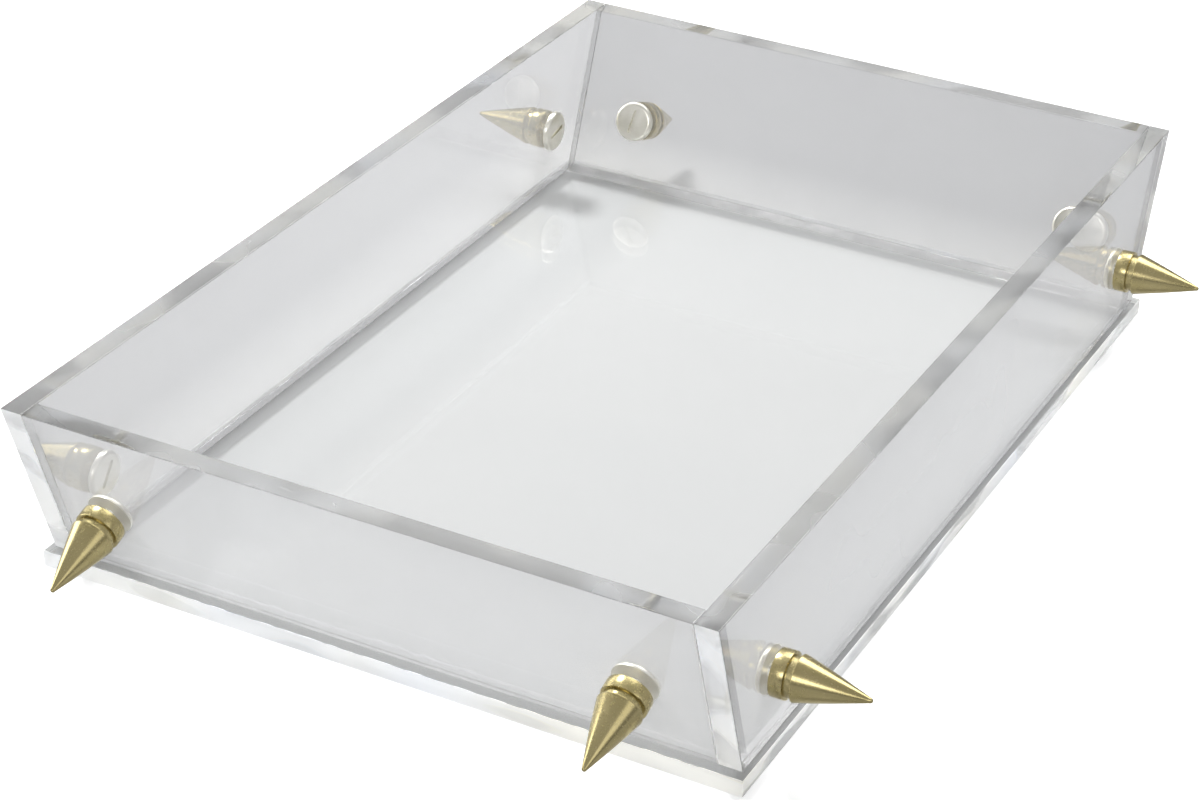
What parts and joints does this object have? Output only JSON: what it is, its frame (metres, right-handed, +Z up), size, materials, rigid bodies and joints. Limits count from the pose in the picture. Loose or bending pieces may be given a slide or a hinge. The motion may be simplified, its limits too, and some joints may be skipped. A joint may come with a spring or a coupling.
{
  "type": "letter tray",
  "caption": "Clear acrylic letter tray with outward-leaning end walls and brass-finished spike studs screwed on near its corners.",
  "frame": {"origin": "centre of the base slab's underside, on the surface that the tray stands on", "axes": "+Z up, +Y along the tray's long side from the front end wall to the back end wall, +X across to the right side wall"},
  "size_m": [0.292, 0.3952, 0.065],
  "materials": {
    "clear_acrylic": "polished",
    "spike_brass": "polished",
    "screw_brass": "satin"
  },
  "bodies": {
    "root": {"base_slab": "clear_acrylic", "left_side_wall": "clear_acrylic", "right_side_wall": "clear_acrylic", "front_end_wall": "clear_acrylic", "back_end_wall": "clear_acrylic", "spike_left_front": "spike_brass", "spike_left_back": "spike_brass", "spike_right_front": "spike_brass", "spike_right_back": "spike_brass", "spike_front_left": "spike_brass", "spike_front_right": "spike_brass", "spike_back_left": "spike_brass", "spike_back_right": "spike_brass", "screw_left_front": "screw_brass", "screw_left_back": "screw_brass", "screw_right_front": "screw_brass", "screw_right_back": "screw_brass", "screw_front_left": "screw_brass", "screw_front_right": "screw_brass", "screw_back_left": "screw_brass", "screw_back_right": "screw_brass"}
  },
  "joints": []
}
